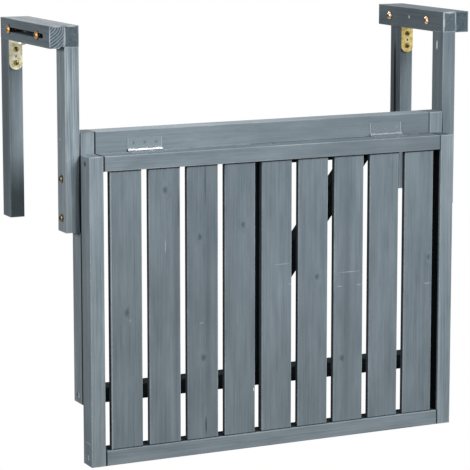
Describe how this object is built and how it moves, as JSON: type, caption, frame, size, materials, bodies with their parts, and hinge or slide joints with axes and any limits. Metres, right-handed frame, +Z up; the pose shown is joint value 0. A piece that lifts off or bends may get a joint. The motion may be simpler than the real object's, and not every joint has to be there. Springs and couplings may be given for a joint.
{
  "type": "folding balcony table",
  "caption": "Slatted softwood table top that hangs folded in front of a frame with a prop gate, on two adjustable hooks that reach over a balcony railing.",
  "frame": {"origin": "on the railing's top inner edge, midway between the two hooks: the hooks rest at z = 0 and the rear frame lies against the railing at y = 0", "axes": "+X along the railing to the sitter's right, +Y outwards over the railing, +Z up"},
  "size_m": [0.6976, 0.2345, 0.6365],
  "materials": {
    "grey_wood": "grey-blue stain on planed softwood, with the grain showing",
    "dowel_wood": "bare fluted beech, hidden in the joints",
    "gold_bolts": "yellow passivated zinc, bright on the domes",
    "yellow_brackets": "yellow passivated zinc strip, satin",
    "steel": "zinc-plated steel, dull on the leaves and bright on the knuckles"
  },
  "bodies": {
    "frame": {"rear_top_rail": "grey_wood", "rear_bottom_rail": "grey_wood", "gate_post": "grey_wood", "gate_arm": "grey_wood", "gate_brace": "grey_wood", "rear_stile_left": "grey_wood", "rear_stile_right": "grey_wood", "post_left": "grey_wood", "post_right": "grey_wood", "inner_arm_left": "grey_wood", "inner_arm_right": "grey_wood", "post_bolts_left": "gold_bolts", "post_bolts_right": "gold_bolts", "clamp_bolts_left": "gold_bolts", "clamp_bolts_right": "gold_bolts", "clamp_nuts_left": "gold_bolts", "clamp_nuts_right": "gold_bolts", "frame_screws": "steel", "gate_pins": "steel", "gate_screws": "steel", "hinge_frame_screws": "steel", "hinge_frame_leaf_left": "steel", "hinge_frame_leaf_right": "steel", "hinge_pin_left": "steel", "hinge_pin_right": "steel", "frame_dowels": "dowel_wood", "post_dowels_left": "dowel_wood", "post_dowels_right": "dowel_wood"},
    "table_top": {"top_back_rail": "grey_wood", "top_front_rail": "grey_wood", "top_muntin": "grey_wood", "top_stile_left": "grey_wood", "top_stile_right": "grey_wood", "slat_1": "grey_wood", "slat_2": "grey_wood", "slat_3": "grey_wood", "slat_4": "grey_wood", "slat_5": "grey_wood", "slat_6": "grey_wood", "slat_7": "grey_wood", "slat_8": "grey_wood", "slat_9": "grey_wood", "top_screws": "steel", "muntin_screws": "steel", "hinge_top_screws": "steel", "hinge_top_leaf_left": "steel", "hinge_top_leaf_right": "steel", "top_dowels": "dowel_wood"},
    "hook_left": {"outer_arm_left": "grey_wood", "leg_left": "grey_wood", "corner_bracket_left": "yellow_brackets", "bracket_screws_left": "gold_bolts", "leg_dowels_left": "dowel_wood"},
    "hook_right": {"outer_arm_right": "grey_wood", "leg_right": "grey_wood", "corner_bracket_right": "yellow_brackets", "bracket_screws_right": "gold_bolts", "leg_dowels_right": "dowel_wood"}
  },
  "joints": [
    {"name": "table_fold", "type": "hinge", "parent": "frame", "child": "table_top", "pos_m": [0, -0.0343, -0.1502], "axis": [-1, 0, 0], "range_deg": [0, 90]},
    {"name": "hook_slide_left", "type": "slide", "parent": "frame", "child": "hook_left", "axis": [0, 1, 0], "range_m": [0, 0.02]},
    {"name": "hook_slide_right", "type": "slide", "parent": "frame", "child": "hook_right", "axis": [0, 1, 0], "range_m": [0, 0.02]}
  ]
}
